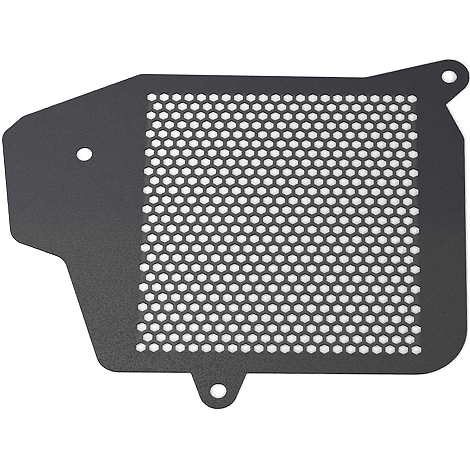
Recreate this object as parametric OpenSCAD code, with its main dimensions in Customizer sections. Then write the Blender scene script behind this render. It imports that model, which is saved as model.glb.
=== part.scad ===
// Motorcycle radiator guard: one flat sheet with a honeycomb of hexagonal
// openings in front of the radiator, a wing to the left and three bolt holes.
// It lies on its rear face, at z = 0. The origin is the centre of the upper
// bolt hole. Outline points are placed from the edges of the perforated
// field, so the sheet grows and shrinks with its pattern. All sizes in mm.

/* [Sheet] */
// Thickness of the sheet
sheet_t = 1; // [0.8:0.1:3]

/* [Perforation] */
// Width of a hexagonal opening across its flats
hex_af = 5; // [3:0.1:8]
// Width of the web between two openings
hex_web = 2; // [1:0.1:4]
// Openings in the top row and in every second row below it
hex_cols = 22; // [12:1:30]
// Rows of openings
hex_rows = 27; // [15:1:35]

/* [Bolt holes] */
// Diameter of the three bolt holes
bolt_d = 8.5; // [5:0.1:10]

/* [Border round the perforation] */
// Top border at its left end
top_border_l = 12.6; // [8:0.1:25]
// Top border at its right end
top_border_r = 11.1; // [8:0.1:25]
// Right border at its upper end
right_border_t = 26.3; // [22:0.1:40]
// Right border at its lower end
right_border_b = 24.5; // [20:0.1:40]
// Bottom border at its right end
bottom_border_r = 11.5; // [8:0.1:25]
// Bottom border at its left end
bottom_border_l = 11.9; // [8:0.1:25]
// Overhang of the top edge past the perforation's left side
top_end_out = 4.2; // [2:0.1:20]
// Overhang of the bottom edge past the perforation's left side
bottom_end_out = 18; // [14:0.1:30]
// Radius of the large lower right corner
lower_right_r = 28.2; // [5:0.1:40]
// Radius of the lower left corner
lower_left_r = 13; // [5:0.1:20]
// Radius between the right edge and the notch
shoulder_r = 8; // [2:0.1:20]
// Radius between the top edge and the wing
top_left_r = 8; // [2:0.1:20]

/* [Upper right lug] */
// Upper bolt hole to the right of the perforation
upper_hole_out = 18.7; // [14:0.1:30]
// Upper bolt hole above the perforation
upper_hole_up = 12.1; // [8:0.1:25]
// Radius of the lug round the upper bolt hole
upper_lug_r = 11.5; // [9:0.1:13]
// Start of the lug on the top edge, left of the perforation's right side
upper_lug_start = 28.7; // [15:0.1:50]
// Radius where the top edge turns up into the lug
upper_lug_start_r = 14; // [2:0.1:30]
// Notch under the lug, to the right of the perforation
notch_out = 16.3; // [10:0.1:20]
// Notch under the lug, below the perforation's top
notch_down = 6.6; // [2:0.1:12]
// Radius at the bottom of the notch
notch_r = 0.8; // [0.3:0.1:3]
// End of the notch's lower side, below the perforation's top
shoulder_down = 28.7; // [20:0.1:50]

/* [Lower lug] */
// Lower bolt hole to the right of the perforation's left side
lower_hole_in = 44.5; // [35:0.1:100]
// Lower bolt hole below the perforation
lower_hole_down = 22.4; // [18:0.1:35]
// Radius of the lug round the lower bolt hole
lower_lug_r = 10.3; // [8:0.1:12]
// Half the width of the lug at the bottom edge
lower_lug_half_w = 14.9; // [13:0.1:20]
// Radius between the bottom edge and the lug
lower_lug_root_r = 1; // [0.3:0.1:5]

/* [Wing] */
// Left bolt hole to the left of the perforation
left_hole_out = 33.8; // [15:0.1:60]
// Left bolt hole below the perforation's top
left_hole_down = 40.8; // [35:0.1:80]
// Inner corner under the wing, left of the perforation
wing_root_out = 41.7; // [30:0.1:50]
// Inner corner under the wing, above the perforation's bottom
wing_root_up = 56.4; // [40:0.1:65]
// Radius of the inner corner under the wing
wing_root_r = 9.8; // [2:0.1:14]
// Lower corner of the wing, left of the perforation
wing_low_out = 71.5; // [65:0.1:80]
// Lower corner of the wing, above the perforation's bottom
wing_low_up = 67.9; // [60:0.1:80]
// Radius of the wing's lower corner
wing_low_r = 10.8; // [2:0.1:20]
// Upper corner of the wing, left of the perforation
wing_high_out = 81.1; // [72:0.1:95]
// Upper corner of the wing, below the perforation's top
wing_high_down = 28.4; // [22:0.1:40]
// Radius of the wing's upper corner
wing_high_r = 8.3; // [2:0.1:14]
// Clipped end of the wing's long upper edge, left of the perforation
wing_clip_out = 70; // [55:0.1:74]
// Clipped end of the wing's long upper edge, below the perforation's top
wing_clip_down = 16.3; // [8:0.1:20]
// Radius at the clipped end of the wing's long upper edge
wing_clip_r = 8.5; // [2:0.1:10]

/* [Hidden] */

// Facet size of the preview
$fa = 2;
$fs = 0.4;

// Black powder coat
coat = [0.16, 0.16, 0.17];

// How far the circle of an arc reaches over the straight sides it touches
arc_lap = 0.005;

// Distance between neighbouring openings, and between their rows
pitch = hex_af + hex_web;
row_pitch = pitch * cos(30);

// Diameter of an opening over its points
hex_over_points = hex_af / cos(30);

// Edges of the perforated field, with its centre at 0
field_r = ((hex_cols - 1) * pitch + hex_af) / 2;
field_l = -field_r;
field_t = ((hex_rows - 1) * row_pitch + hex_over_points) / 2;
field_b = -field_t;

upper_hole = [field_r + upper_hole_out, field_t + upper_hole_up];
lower_hole = [field_l + lower_hole_in, field_b - lower_hole_down];
left_hole = [field_l - left_hole_out, field_t - left_hole_down];

// Ends of the straight bottom edge, before its corners are rounded
bottom_right = [field_r + right_border_b, field_b - bottom_border_r];
bottom_left = [field_l - bottom_end_out, field_b - bottom_border_l];

// The outline, anticlockwise from the top edge's left end. An entry is a
// corner with its rounding radius, or a bolt hole with the radius of the lug
// that wraps it.
CORNER = 0;
LUG = 1;
outline_marks = [
    [CORNER, [field_l - top_end_out, field_t + top_border_l], top_left_r],
    [CORNER, [field_l - wing_clip_out, field_t - wing_clip_down], wing_clip_r],
    [CORNER, [field_l - wing_high_out, field_t - wing_high_down], wing_high_r],
    [CORNER, [field_l - wing_low_out, field_b + wing_low_up], wing_low_r],
    [CORNER, [field_l - wing_root_out, field_b + wing_root_up], wing_root_r],
    [CORNER, bottom_left, lower_left_r],
    [CORNER, on_bottom_edge(lower_hole[0] - lower_lug_half_w), lower_lug_root_r],
    [LUG, lower_hole, lower_lug_r],
    [CORNER, on_bottom_edge(lower_hole[0] + lower_lug_half_w), lower_lug_root_r],
    [CORNER, bottom_right, lower_right_r],
    [CORNER, [field_r + right_border_t, field_t - shoulder_down], shoulder_r],
    [CORNER, [field_r + notch_out, field_t - notch_down], notch_r],
    [LUG, upper_hole, upper_lug_r],
    [CORNER, [field_r - upper_lug_start, field_t + top_border_r], upper_lug_start_r],
];
arcs = [for (i = [0 : len(outline_marks) - 1]) arc_at(i)];

// Point of the bottom edge at a given x
function on_bottom_edge(x) =
    let (share = (x - bottom_left[0]) / (bottom_right[0] - bottom_left[0]))
    bottom_left + share * (bottom_right - bottom_left);

function unit(v) = v / norm(v);

// Above 0 where c lies to the left of the way from a through b
function turn(a, b, c) = cross(b - a, c - b);

// Mark number i, counted round the outline
function mark(i) = outline_marks[(i + len(outline_marks)) % len(outline_marks)];

// Point where a line from p touches the circle of radius r round c. side is 1
// for the touching point on the left of the way from p to c, -1 on the right.
function touch_point(p, c, r, side) =
    let (
        far = norm(c - p),
        along = unit(c - p),
        across = [-along[1], along[0]]
    )
    c + r * (-r / far * along + side * sqrt(1 - pow(r / far, 2)) * across);

// Arc that stands at mark i: centre, radius, first point, last point, and
// whether the sheet bulges out there
function arc_at(i) = mark(i)[0] == LUG ? lug_arc(i) : corner_arc(i);

function lug_arc(i) =
    let (c = mark(i)[1], r = mark(i)[2])
    [c, r, touch_point(mark(i - 1)[1], c, r, -1), touch_point(mark(i + 1)[1], c, r, 1), true];

// A corner's side ends at the neighbouring corner, or touches the
// neighbouring lug
function side_end(i, from, side) =
    mark(i)[0] == LUG ? touch_point(from, mark(i)[1], mark(i)[2], side) : mark(i)[1];

function corner_arc(i) =
    let (
        p = mark(i)[1],
        r = mark(i)[2],
        before = side_end(i - 1, p, 1),
        after = side_end(i + 1, p, -1),
        u = unit(before - p),
        v = unit(after - p),
        half = acos(u * v) / 2,
        cut = r / tan(half)
    )
    [p + unit(u + v) * r / sin(half), r, p + cut * u, p + cut * v, turn(before, p, after) > 0];

// Disc whose rim is the arc a. It laps a hair over the straight sides that it
// touches, so that they meet in one clear point.
module arc_disc(a) {
    translate(a[0]) circle(a[1] + arc_lap);
}

// Solid outline of the sheet: straight sides, true arcs at corners and lugs
module sheet_outline() {
    difference() {
        union() {
            polygon([for (a = arcs) each [a[2], a[3]]]);
            for (a = arcs)
                if (a[4]) arc_disc(a);
        }
        for (a = arcs)
            if (!a[4]) arc_disc(a);
    }
}

// One opening, with a point up and a point down
module hexagon() {
    rotate(30) circle(d = hex_over_points, $fn = 6);
}

// Rows of openings, every second row moved by half a pitch and one shorter
module honeycomb() {
    for (row = [0 : hex_rows - 1])
        for (col = [0 : hex_cols - 1 - row % 2])
            translate([
                (col - (hex_cols - 1 - row % 2) / 2) * pitch,
                ((hex_rows - 1) / 2 - row) * row_pitch
            ])
                hexagon();
}

module bolt_holes() {
    for (hole = [upper_hole, lower_hole, left_hole])
        translate(hole) circle(d = bolt_d);
}

// The whole guard is one cut and coated sheet
module guard_plate() {
    color(coat)
        translate([-upper_hole[0], -upper_hole[1], 0])
            linear_extrude(sheet_t)
                difference() {
                    sheet_outline();
                    honeycomb();
                    bolt_holes();
                }
}

guard_plate();
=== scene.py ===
"""A flat motorcycle radiator guard on a pale studio floor: one black powder-coated steel
sheet with a honeycomb of hexagonal openings. The sheet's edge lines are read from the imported
model, and the coated sheet is built on them, with rounded edges and a grained coat."""

import math

import bmesh
import bpy
import numpy as np
from mathutils import Matrix, Vector, geometry


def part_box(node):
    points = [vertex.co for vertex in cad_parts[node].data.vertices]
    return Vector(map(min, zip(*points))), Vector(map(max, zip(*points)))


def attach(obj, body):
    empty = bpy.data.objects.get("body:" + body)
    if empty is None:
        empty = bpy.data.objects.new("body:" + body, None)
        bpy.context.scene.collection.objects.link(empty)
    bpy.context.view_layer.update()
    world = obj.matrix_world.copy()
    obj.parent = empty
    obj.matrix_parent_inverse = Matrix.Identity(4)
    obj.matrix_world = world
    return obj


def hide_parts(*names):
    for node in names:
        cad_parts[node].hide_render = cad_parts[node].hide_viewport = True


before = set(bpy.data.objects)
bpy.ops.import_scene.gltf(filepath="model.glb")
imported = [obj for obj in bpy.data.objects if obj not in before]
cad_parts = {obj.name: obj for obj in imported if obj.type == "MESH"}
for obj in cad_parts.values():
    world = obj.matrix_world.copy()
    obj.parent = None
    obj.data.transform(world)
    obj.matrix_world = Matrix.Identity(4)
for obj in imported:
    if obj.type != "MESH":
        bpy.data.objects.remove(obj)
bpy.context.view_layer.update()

NODE = "guard_plate"
MM = 0.001

# Camera: the point it looks at, in the sheet's frame, and how it stands to that point
LOOK_AT = Vector((-119.28, -103.6, 0.5)) * MM
CAMERA_DISTANCE = 1.3236
CAMERA_HEADING = math.radians(-3.34)
CAMERA_ELEVATION = math.radians(61.05)
CAMERA_ROLL = math.radians(-2.46)
CAMERA_LENS = 185.2
CAMERA_CLIP_START = 0.01

# Points of the CAD mesh nearer than this are one point
WELD = 0.001 * MM

# Points of an opening's edge line in the CAD mesh, and the longest chord of its arcs
HEXAGON = 6
LONGEST_CHORD = 5 * MM

# The widest angle that one chord of the finished sheet's arcs spans
CHORD_ANGLE = math.radians(4)

# Rounding in the corners of the openings, and the points that each corner gets
CORNER_RADIUS = 0.4 * MM
CORNER_POINTS = 3

# Rounding of the edges between face and wall, and its steps over the quarter turn
EDGE_RADIUS = 0.15 * MM
EDGE_STEPS = 2

# Bake map: how wide the wall is laid down on it, as a share of its height, and the empty rim
# round each of its two halves
WALL_SHARE = 0.6
MAP_RIM = 0.008

# The sheet's two materials. The wall's covers the rounded edges too.
FACE, WALL = 0, 1

# The range that most values of a noise lie in
NOISE_RANGE = (0.3, 0.7)

# The coat on the faces: its colour changes from the lower colour to the upper one between two
# heights on the sheet. This is painted light: the lower part is painted lighter and neutral, and
# the upper part darker and bluish, standing in for stronger, warmer light low on the sheet and
# weaker, cooler light higher up. Its roughness runs from the hollows of the grain to its tops.
PAINTED_LIGHT_LOWER_COLOUR = (0.0252, 0.0253, 0.0252)
PAINTED_SHADE_UPPER_COLOUR = (0.0195, 0.0181, 0.0255)
PAINTED_LIGHT_HEIGHTS = (-110 * MM, -86 * MM)
FACE_GLOSS = 0.45
FACE_ROUGHNESS = (0.6, 0.5)
FACE_BUMPS = 0.05 * MM

# The webs between the openings, painted lighter as a painted highlight, and the soft rim of their
# field
WEB_HIGHLIGHT_COLOUR = (0.0440, 0.0440, 0.0440)
FIELD_RIM = 1.5 * MM

# The coat on the walls, painted near black as painted shade. Its shade runs from the hollows of
# the grain to its tops too.
WALL_SHADE_COLOUR = (0.006, 0.006, 0.007)
WALL_SHADES = (0.7, 1.3)
WALL_GLOSS = 0.0
WALL_ROUGHNESS = (0.95, 0.85)
WALL_BUMPS = 0.03 * MM

# Grain: size, detail, depth, the corner where it is strongest, the way on which it halves, and
# what is left of it far off. The grain is the coat's own texture, but its greater strength in the
# colour near that corner is a painted glare of the lamps on it.
GRAIN_SIZE = 0.75 * MM
GRAIN_DETAIL = 1.0
GRAIN_DEPTH = 1.25
GLARE_CORNER = Vector((-160, -195, 0)) * MM
GLARE_REACH = 50 * MM
GRAIN_FADED = 0.08

# Painted light: how much lighter the coat is painted at that corner, standing in for the stronger
# light there, as a share of its colour
CORNER_PAINTED_LIGHT = 0.45

# Mottling: size, detail, and the shades it runs between
MOTTLING_SIZE = 7 * MM
MOTTLING_DETAIL = 2.0
MOTTLING_SHADES = (0.94, 1.06)

# Specks, first the dark and then the light ones: size, shift of their noise, the range of its
# values over which a speck sets in or ends, and the shade it adds at either end of that range
SPECKS = (
    (1.1 * MM, 3.0, (0.17, 0.23), (-0.7, 0.0)),
    (1.0 * MM, 7.0, (0.81, 0.86), (0.0, 0.9)),
)

# The floor, which lies a hair under the sheet
FLOOR_RADIUS = 0.45
FLOOR_SIDES = 96
FLOOR_GAP = 0.02 * MM
FLOOR_COLOUR = (0.95, 0.95, 0.95)
FLOOR_ROUGHNESS = 0.9
FLOOR_GLOSS = 0.2

# The even light from all sides, how bright the camera sees the backdrop, and the sharpening
# of the picture
AMBIENT = 0.1
BACKDROP = 1.0
PICTURE_GAMMA = 2.2
SHARPNESS = 0.15

# Round lamps that all shine on one point: name, place, diameter in metres, power in watts
LAMPS_AIM = Vector((-0.12, -0.10, 0.0))
LAMPS = (
    ("left", (-0.33, -0.10, 0.36), 0.24, 0.53),
    ("rear_left", (-0.22, 0.08, 0.36), 0.24, 0.39),
)

# A ring of low lamps, evenly spaced from +X by +Y round the sheet: distance, elevation,
# diameter, powers
RING_DISTANCE = 0.8
RING_ELEVATION = math.radians(15)
RING_SIZE = 0.5
RING_POWERS = (7.8, 0.1, 0.1, 1.3, 7.3, 0.3, 5.8, 0.3)


def front_lines(mesh):
    """Edge lines of the CAD sheet's front face: closed lines of 2-D points, with the sheet on
    their left."""
    bm = bmesh.new()
    bm.from_mesh(mesh)
    bmesh.ops.remove_doubles(bm, verts=bm.verts, dist=WELD)
    top = max(v.co.z for v in bm.verts)
    front = {f for f in bm.faces if all(v.co.z > top - WELD for v in f.verts)}
    after = {}
    for face in sorted(front, key=lambda f: f.index):
        for corner in face.loops:
            if not any(f in front for f in corner.edge.link_faces if f is not face):
                after[corner.vert] = corner.link_loop_next.vert
    lines = []
    while after:
        vert = next(iter(after))
        line = []
        while vert in after:
            line.append(vert.co.xy)
            vert = after.pop(vert)
        lines.append(np.array(line, float))
    bm.free()
    return lines


def cross(a, b):
    return a[0] * b[1] - a[1] * b[0]


def unit(v):
    return v / np.linalg.norm(v)


def turned(v, angle):
    c, s = math.cos(angle), math.sin(angle)
    return np.array([v[0] * c - v[1] * s, v[0] * s + v[1] * c])


def circle_centre(a, b, c):
    """Centre of the circle through three points."""
    sides = 2 * np.array([b - a, c - a])
    return a + np.linalg.solve(sides, (sides * sides).sum(1) / 4)


def smooth_arcs(line):
    """The line with finer arcs. A short side is a chord of an arc, and the neighbour nearest
    to it in length is another chord of the same arc."""
    found = []
    for i in range(len(line)):
        before, a, b, after = (line[(i + k) % len(line)] for k in (-1, 0, 1, 2))
        found.append(a)
        chord = np.linalg.norm(b - a)
        if chord > LONGEST_CHORD:
            continue
        like_before = abs(np.linalg.norm(a - before) - chord)
        like_after = abs(np.linalg.norm(after - b) - chord)
        on_arc = (before, a, b) if like_before < like_after else (a, b, after)
        centre = circle_centre(*on_arc)
        radius = np.linalg.norm(a - centre)
        turn = cross(a - centre, b - centre)
        span = math.copysign(2 * math.asin(chord / 2 / radius), turn)
        steps = math.ceil(abs(span) / CHORD_ANGLE)
        found += [centre + turned(a - centre, span * k / steps) for k in range(1, steps)]
    return np.array(found)


def round_corners(line):
    """The line with an arc in the place of each corner."""
    found = []
    for i in range(len(line)):
        before, corner, after = (line[(i + k) % len(line)] for k in (-1, 0, 1))
        u, v = unit(before - corner), unit(after - corner)
        half = math.acos(u @ v) / 2
        centre = corner + unit(u + v) * CORNER_RADIUS / math.sin(half)
        start = corner + u * CORNER_RADIUS / math.tan(half) - centre
        turn = math.copysign(math.pi - 2 * half, cross(corner - before, after - corner))
        for k in range(CORNER_POINTS):
            found.append(centre + turned(start, turn * k / (CORNER_POINTS - 1)))
    return np.array(found)


def steps_out(line):
    """For each point, the step off the sheet that moves both its sides out by 1, and the
    direction of that step."""
    side = np.roll(line, -1, 0) - line
    side /= np.linalg.norm(side, axis=1)[:, None]
    out = np.stack([side[:, 1], -side[:, 0]], 1)
    both = out + np.roll(out, 1, 0)
    size = np.linalg.norm(both, axis=1)[:, None]
    return 2 * both / size**2, both / size


def rings(line, thickness):
    """Points and normals of the sheet's rounded edge along a line: one ring of points after
    another, from the front face round the wall to the rear face."""
    step, out = steps_out(line)
    quarter = [math.pi / 2 * (1 - k / EDGE_STEPS) for k in range(EDGE_STEPS + 1)]
    points, normals = [], []
    for angle, front in [(a, True) for a in quarter] + [(a, False) for a in reversed(quarter)]:
        inward = EDGE_RADIUS * (1 - math.cos(angle))
        rise = EDGE_RADIUS * (1 - math.sin(angle))
        z = thickness - rise if front else rise
        up = math.sin(angle) if front else -math.sin(angle)
        n = len(line)
        points.append(np.column_stack([line - inward * step, np.full(n, z)]))
        normals.append(np.column_stack([out * math.cos(angle), np.full(n, up)]))
    return np.array(points), np.array(normals)


def map_rings(line, step, is_outline, thickness):
    """Points of the rings on a flat map, in metres, from the front face's edge down. The wall
    is laid down on the empty side of that edge. step moves the edge out by 1."""
    quarter = EDGE_RADIUS * math.pi / 2
    steps = [quarter * k / EDGE_STEPS for k in range(EDGE_STEPS + 1)]
    walls = steps + [quarter + thickness - 2 * EDGE_RADIUS]
    if is_outline:
        return [line + step * WALL_SHARE * w for w in walls]
    centre = line.mean(0)
    radius = np.linalg.norm(line - centre, axis=1).min()
    return [centre + (line - centre) * (1 - WALL_SHARE * w / radius) for w in walls]


def face_triangles(lines, outline):
    """Triangles that fill the face between the lines, as indices into all the lines' points
    in turn. outline is the number of the outer line."""
    points = [Vector(p) for p in np.concatenate(lines) / MM]
    whose = np.repeat(np.arange(len(lines)), [len(line) for line in lines])
    first = np.cumsum([0] + [len(line) for line in lines])
    edges = [
        (int(a + k), int(a + (k + 1) % (b - a)))
        for a, b in zip(first, first[1:])
        for k in range(b - a)
    ]
    inside_lines, same_point = 1, 1e-6
    _, _, faces, sources, *_ = geometry.delaunay_2d_cdt(
        points, edges, [], inside_lines, same_point
    )
    triangles = []
    for face in faces:
        corners = [sources[v][0] for v in face]
        # A triangle with all its corners on one opening's line lies in that opening
        owners = {whose[c] for c in corners}
        if len(owners) > 1 or owners == {outline}:
            triangles.append(corners)
    return triangles


def bake_map(mesh, front, count):
    """The map that the coat is baked on. The front half of the sheet fills the upper half of the
    image, and the rear half, mirrored, the lower one. front has the places of the rings from the
    front face down, and count is the number of points in a ring."""
    low, span = front.min(0), np.ptp(front, axis=0)
    half = MAP_RIM + (1 - 2 * MAP_RIM) * (front - low) / span
    upper = half * [1, 0.5] + [0, 0.5]
    lower = half * [-1, 0.5] + [1, 0]
    rings_down = len(front) // count
    last = 2 * (EDGE_STEPS + 1) - 1
    layer = mesh.uv_layers.new(name="OFBake")
    spots = np.empty((len(mesh.loops), 2))
    for polygon in mesh.polygons:
        deepest = max(v // count for v in polygon.vertices)
        for corner, v in zip(polygon.loop_indices, polygon.vertices):
            if deepest < rings_down:
                spots[corner] = upper[v]
            else:
                ring, along = divmod(v, count)
                spots[corner] = lower[(last - ring) * count + along]
    layer.data.foreach_set("uv", spots.ravel())


def coated_sheet(name, cad_lines):
    """The whole sheet as one closed mesh, with rounded edges along every line of the CAD
    sheet."""
    low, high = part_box(NODE)
    thickness = high.z - low.z
    lines = [
        round_corners(line) if len(line) == HEXAGON else smooth_arcs(line) for line in cad_lines
    ]
    # The finer arcs swell a hair past the chords of the CAD mesh, so they are cut to its box
    lines = [np.clip(line, low.xy, high.xy) for line in lines]
    outline = max(range(len(lines)), key=lambda k: np.ptp(lines[k][:, 0]))
    made = [rings(line, thickness) for line in lines]
    count = sum(len(line) for line in lines)
    points = np.concatenate([p for p, _ in made], axis=1)
    normals = np.concatenate([n for _, n in made], axis=1)
    last = len(points) - 1

    front_edges = [p[0, :, :2] for p, _ in made]
    triangles = face_triangles(front_edges, outline)
    faces = [list(t) for t in triangles]
    faces += [[last * count + v for v in reversed(t)] for t in triangles]
    kinds = [FACE] * len(faces)
    start = 0
    for line in lines:
        n = len(line)
        for ring in range(last):
            for k in range(n):
                a = ring * count + start + k
                b = ring * count + start + (k + 1) % n
                faces.append([a, a + count, b + count, b])
        start += n
    kinds += [WALL] * (len(faces) - len(kinds))

    mesh = bpy.data.meshes.new(name)
    mesh.from_pydata(points.reshape(-1, 3) + [0, 0, low.z], [], faces)
    mesh.update()
    mesh.polygons.foreach_set("use_smooth", [True] * len(mesh.polygons))
    mesh.polygons.foreach_set("material_index", kinds)
    mesh.normals_split_custom_set_from_vertices(normals.reshape(-1, 3))

    flat = [
        map_rings(edge, steps_out(line)[0], k == outline, thickness)
        for k, (edge, line) in enumerate(zip(front_edges, lines))
    ]
    bake_map(mesh, np.concatenate([np.concatenate(ring) for ring in zip(*flat)]), count)
    sheet = bpy.data.objects.new(name, mesh)
    bpy.context.scene.collection.objects.link(sheet)
    return sheet


def new_material(name):
    material = bpy.data.materials.new(name)
    material.use_nodes = True
    return material, material.node_tree, material.node_tree.nodes["Principled BSDF"]


def place_on_sheet(tree):
    return tree.nodes.new("ShaderNodeTexCoord").outputs["Object"]


def axes_on_sheet(tree):
    parts = tree.nodes.new("ShaderNodeSeparateXYZ")
    tree.links.new(place_on_sheet(tree), parts.inputs["Vector"])
    return parts.outputs


def noise(tree, size, detail, shift=0.0):
    """Noise in the sheet's own space, with features of the given size. shift gives another
    draw of it."""
    place = tree.nodes.new("ShaderNodeMapping")
    place.inputs["Location"].default_value = (shift, shift, shift)
    tree.links.new(place_on_sheet(tree), place.inputs["Vector"])
    node = tree.nodes.new("ShaderNodeTexNoise")
    node.inputs["Scale"].default_value = 1 / size
    node.inputs["Detail"].default_value = detail
    tree.links.new(place.outputs["Vector"], node.inputs["Vector"])
    return node.outputs["Fac"]


def spread(tree, value, source, target):
    """The value, moved from the source range to the target one, and held within it."""
    node = tree.nodes.new("ShaderNodeMapRange")
    for k, x in enumerate((*source, *target), 1):
        node.inputs[k].default_value = x
    tree.links.new(value, node.inputs[0])
    return node.outputs[0]


def combine(tree, operation, a, b):
    """The result of a calculation with a and b. Each is a number or another node's output."""
    node = tree.nodes.new("ShaderNodeMath")
    node.operation = operation
    for socket, x in zip(node.inputs, (a, b)):
        if isinstance(x, float):
            socket.default_value = x
        else:
            tree.links.new(x, socket)
    return node.outputs[0]


def near_glare_corner(tree):
    """1 at GLARE_CORNER, and half as much with every GLARE_REACH away from it."""
    # This share places the painted light and the painted glare on the grain near one corner
    node = tree.nodes.new("ShaderNodeVectorMath")
    node.operation = "DISTANCE"
    node.inputs[1].default_value = GLARE_CORNER
    tree.links.new(place_on_sheet(tree), node.inputs[0])
    reaches = combine(tree, "DIVIDE", node.outputs["Value"], GLARE_REACH)
    return combine(tree, "POWER", 0.5, reaches)


def web_highlight_field(tree, field):
    """1 on the webs between the openings, where the painted highlight lies, 0 outside their
    field, given by its lower left and upper right."""
    axes = axes_on_sheet(tree)
    inside = 1.0
    for axis, low, high in zip("XY", *field):
        for edge, way in ((float(low), 1), (float(high), -1)):
            step = spread(tree, axes[axis], (edge, edge + way * FIELD_RIM), (0.0, 1.0))
            inside = combine(tree, "MULTIPLY", inside, step)
    return inside


def blend(tree, share, a, b):
    """Colour a where share is 0 and b where it is 1. Each is a colour or another node's
    output."""
    mix = tree.nodes.new("ShaderNodeMix")
    mix.data_type = "RGBA"
    tree.links.new(share, mix.inputs["Factor"])
    for socket, colour in zip(("A", "B"), (a, b)):
        if isinstance(colour, tuple):
            mix.inputs[socket].default_value = (*colour, 1)
        else:
            tree.links.new(colour, mix.inputs[socket])
    return mix.outputs["Result"]


def doubled(colour):
    """Twice the colour, as tint takes it."""
    return tuple(2 * c for c in colour)


def tint(tree, shade, twice, shader):
    """Gives the shader a colour times shade. It takes twice the colour, as the share of a
    blend ends at 1, and shade may be up to 2."""
    half = combine(tree, "MULTIPLY", shade, 0.5)
    tree.links.new(blend(tree, half, (0, 0, 0), twice), shader.inputs["Base Color"])


def bumps(tree, height, distance, shader):
    bump = tree.nodes.new("ShaderNodeBump")
    bump.inputs["Distance"].default_value = distance
    tree.links.new(height, bump.inputs["Height"])
    tree.links.new(bump.outputs["Normal"], shader.inputs["Normal"])


def face_coat(field):
    """Matt black powder coat: a fine grain, a soft mottling, and a few specks. Its colour holds
    painted light too: near one corner it is lighter and its grain is strongest, as painted glare;
    it is lighter and neutral low on the sheet and darker and bluish higher up; and the webs are
    painted lighter as a painted highlight."""
    material, tree, shader = new_material("coat_on_face")
    shader.inputs["Specular IOR Level"].default_value = FACE_GLOSS
    fine = noise(tree, GRAIN_SIZE, GRAIN_DETAIL)
    corner = near_glare_corner(tree)
    # The grain is real texture, and its strength near the corner is partly a painted glare
    grain = combine(
        tree, "MULTIPLY", spread(tree, fine, NOISE_RANGE, (-GRAIN_DEPTH, GRAIN_DEPTH)),
        spread(tree, corner, (0.0, 1.0), (GRAIN_FADED, 1.0)),
    )
    mottling = noise(tree, MOTTLING_SIZE, MOTTLING_DETAIL)
    parts = [spread(tree, mottling, NOISE_RANGE, MOTTLING_SHADES), grain]
    for size, shift, values, shades in SPECKS:
        parts.append(spread(tree, noise(tree, size, 0.0, shift), values, shades))
    # Painted light: the coat is painted lighter near the corner where the light is strongest
    shade = combine(tree, "MULTIPLY", corner, CORNER_PAINTED_LIGHT)
    for part in parts:
        shade = combine(tree, "ADD", shade, part)
    # Painted light: lighter and neutral low on the sheet, darker and bluish higher up
    height = spread(tree, axes_on_sheet(tree)["Y"], PAINTED_LIGHT_HEIGHTS, (0.0, 1.0))
    twice = blend(tree, height, doubled(PAINTED_LIGHT_LOWER_COLOUR), doubled(PAINTED_SHADE_UPPER_COLOUR))
    # Painted highlight: the webs between the openings are painted lighter and neutral
    twice = blend(tree, web_highlight_field(tree, field), twice, doubled(WEB_HIGHLIGHT_COLOUR))
    tint(tree, shade, twice, shader)
    roughness = spread(tree, fine, NOISE_RANGE, FACE_ROUGHNESS)
    tree.links.new(roughness, shader.inputs["Roughness"])
    bumps(tree, grain, FACE_BUMPS, shader)
    return material


def wall_coat_painted_shade():
    """The coat on the cut edges and their rounding, duller than on the faces and painted darker
    as painted shade.
    """
    material, tree, shader = new_material("coat_on_edge_painted_shade")
    shader.inputs["Specular IOR Level"].default_value = WALL_GLOSS
    fine = noise(tree, GRAIN_SIZE, GRAIN_DETAIL)
    # Painted shade: the walls and rounded edges are painted near black
    tint(tree, spread(tree, fine, NOISE_RANGE, WALL_SHADES), doubled(WALL_SHADE_COLOUR), shader)
    roughness = spread(tree, fine, NOISE_RANGE, WALL_ROUGHNESS)
    tree.links.new(roughness, shader.inputs["Roughness"])
    bumps(tree, fine, WALL_BUMPS, shader)
    return material


def pale_floor():
    """A round floor under the sheet, as part of the stage."""
    material, tree, shader = new_material("pale_floor")
    shader.inputs["Base Color"].default_value = (*FLOOR_COLOUR, 1)
    shader.inputs["Roughness"].default_value = FLOOR_ROUGHNESS
    shader.inputs["Specular IOR Level"].default_value = FLOOR_GLOSS
    mesh = bpy.data.meshes.new("floor")
    rim = []
    for k in range(FLOOR_SIDES):
        angle = 2 * math.pi * k / FLOOR_SIDES
        rim.append(LAMPS_AIM + Vector((math.cos(angle), math.sin(angle), 0)) * FLOOR_RADIUS)
    mesh.from_pydata([p - Vector((0, 0, FLOOR_GAP)) for p in rim], [], [range(FLOOR_SIDES)])
    mesh.materials.append(material)
    floor = bpy.data.objects.new("floor", mesh)
    bpy.context.scene.collection.objects.link(floor)


def studio_light():
    """The backdrop, and the lamps, which the camera doesn't see."""
    world = bpy.data.worlds.new("studio")
    bpy.context.scene.world = world
    world.use_nodes = True
    tree = world.node_tree
    background = tree.nodes["Background"]
    background.inputs["Color"].default_value = (1, 1, 1, 1)
    seen = tree.nodes.new("ShaderNodeLightPath").outputs["Is Camera Ray"]
    strength = spread(tree, seen, (0.0, 1.0), (AMBIENT, BACKDROP))
    tree.links.new(strength, background.inputs["Strength"])
    lamps = list(LAMPS)
    level, rise = math.cos(RING_ELEVATION), math.sin(RING_ELEVATION)
    for k, power in enumerate(RING_POWERS):
        azimuth = 2 * math.pi * k / len(RING_POWERS)
        way = Vector((level * math.cos(azimuth), level * math.sin(azimuth), rise))
        lamps.append((f"ring_{k}", LAMPS_AIM + way * RING_DISTANCE, RING_SIZE, power))
    for name, place, size, power in lamps:
        data = bpy.data.lights.new(name, "AREA")
        data.shape = "DISK"
        data.size = size
        data.energy = power
        lamp = bpy.data.objects.new(name, data)
        lamp.location = place
        lamp.rotation_euler = (Vector(place) - LAMPS_AIM).to_track_quat("Z", "Y").to_euler()
        lamp.visible_camera = False
        bpy.context.scene.collection.objects.link(lamp)


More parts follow.
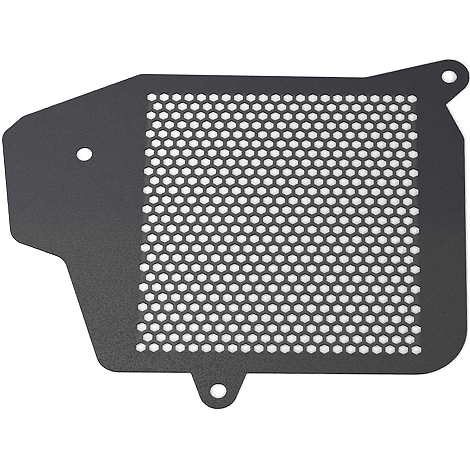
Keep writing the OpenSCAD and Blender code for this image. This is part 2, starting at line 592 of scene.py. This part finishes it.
def crisp_picture():
    """A light sharpening of the finished picture, as the photograph has it. It is done on the
    picture's greys as they are seen, and what is past white is cut off before."""
    scene = bpy.context.scene
    scene.use_nodes = True
    tree = scene.node_tree
    tree.nodes.clear()
    picture = tree.nodes.new("CompositorNodeRLayers").outputs["Image"]
    clip = tree.nodes.new("CompositorNodeMixRGB")
    clip.use_clamp = True
    clip.inputs["Fac"].default_value = 0
    tree.links.new(picture, clip.inputs[1])
    picture = clip.outputs["Image"]
    sharpen = ("Filter", SHARPNESS)
    for kind, value in (("Gamma", 1 / PICTURE_GAMMA), sharpen, sharpen, ("Gamma", PICTURE_GAMMA)):
        node = tree.nodes.new("CompositorNode" + kind)
        node.inputs["Gamma" if kind == "Gamma" else "Fac"].default_value = value
        if kind == "Filter":
            node.filter_type = "SHARPEN_DIAMOND"
        tree.links.new(picture, node.inputs["Image"])
        picture = node.outputs["Image"]
    tree.links.new(picture, tree.nodes.new("CompositorNodeComposite").inputs["Image"])


def photo_camera():
    """A camera that looks at LOOK_AT from its heading and elevation, rolled about its own
    axis."""
    ahead = Vector((
        math.sin(CAMERA_HEADING) * math.cos(CAMERA_ELEVATION),
        math.cos(CAMERA_HEADING) * math.cos(CAMERA_ELEVATION),
        -math.sin(CAMERA_ELEVATION),
    ))
    level = ahead.cross(Vector((0, 0, 1))).normalized()
    right = Matrix.Rotation(-CAMERA_ROLL, 3, ahead) @ level
    upright = right.cross(ahead)
    camera = bpy.data.objects.new("camera", bpy.data.cameras.new("camera"))
    camera.data.lens = CAMERA_LENS
    camera.data.clip_start = CAMERA_CLIP_START
    turn = Matrix((right, upright, -ahead)).transposed().to_4x4()
    camera.matrix_world = Matrix.Translation(LOOK_AT - ahead * CAMERA_DISTANCE) @ turn
    bpy.context.scene.collection.objects.link(camera)
    bpy.context.scene.camera = camera


cad_lines = front_lines(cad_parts[NODE].data)
hexagons = np.concatenate([line for line in cad_lines if len(line) == HEXAGON])
sheet = coated_sheet("guard_sheet", cad_lines)
sheet.data.materials.append(face_coat((hexagons.min(0), hexagons.max(0))))
sheet.data.materials.append(wall_coat_painted_shade())
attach(sheet, "root")
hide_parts(NODE)

pale_floor()
studio_light()
photo_camera()
crisp_picture()
bpy.context.scene.view_settings.view_transform = "Standard"
